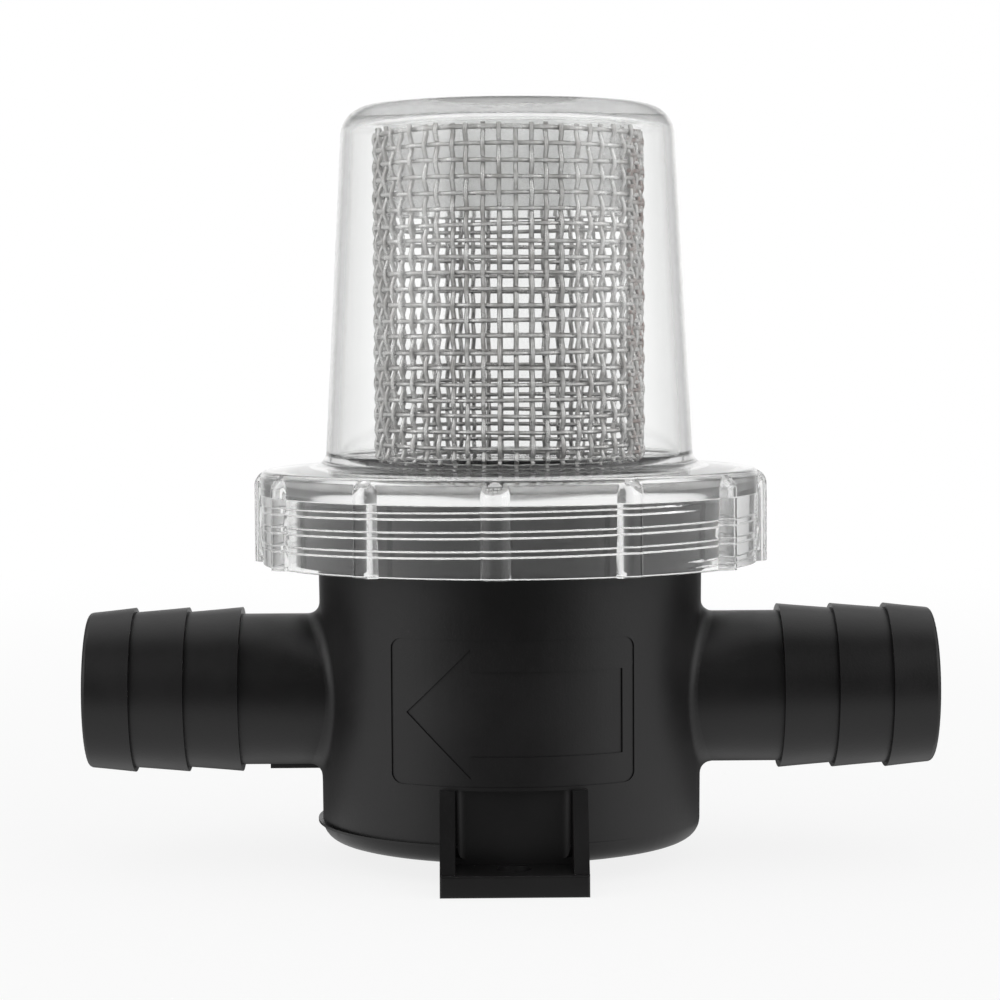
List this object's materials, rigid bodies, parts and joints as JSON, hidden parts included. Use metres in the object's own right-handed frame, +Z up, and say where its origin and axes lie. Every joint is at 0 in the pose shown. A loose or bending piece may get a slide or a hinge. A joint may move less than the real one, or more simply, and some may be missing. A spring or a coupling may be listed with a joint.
{
  "type": "sea water strainer",
  "caption": "In-line raw water strainer: ribbed clear bowl screwed onto a black moulded body with two barbed hose tails and two screw feet, over a woven wire screen.",
  "frame": {"origin": "on the bowl's screw axis, at the undersides of the feet", "axes": "+X from the outlet tail to the inlet tail along the hose axis, -Y towards the side with the arrow, +Z up along the screw axis"},
  "size_m": [0.1396, 0.0848, 0.1241],
  "materials": {
    "housing": "satin black moulded polypropylene",
    "bowl": "clear polished moulded plastic",
    "screen": "woven stainless steel wire",
    "seal_ring": "black rubber"
  },
  "bodies": {
    "base": {"housing": "housing", "screen": "screen"},
    "ring": {"seal_ring": "seal_ring"},
    "cover": {"bowl": "bowl"}
  },
  "joints": [
    {"name": "bowl_rise", "type": "slide", "parent": "base", "child": "ring", "axis": [0, 0, 1], "range_m": [0, 0.009]},
    {"name": "bowl_turn", "type": "hinge", "parent": "ring", "child": "cover", "pos_m": [0, 0, 0.055], "axis": [0, 0, 1], "range_deg": [0, 1080]}
  ],
  "couplings": [
    {"joint": "bowl_rise", "follows": "bowl_turn", "m_per_rad": 0.00047746}
  ]
}
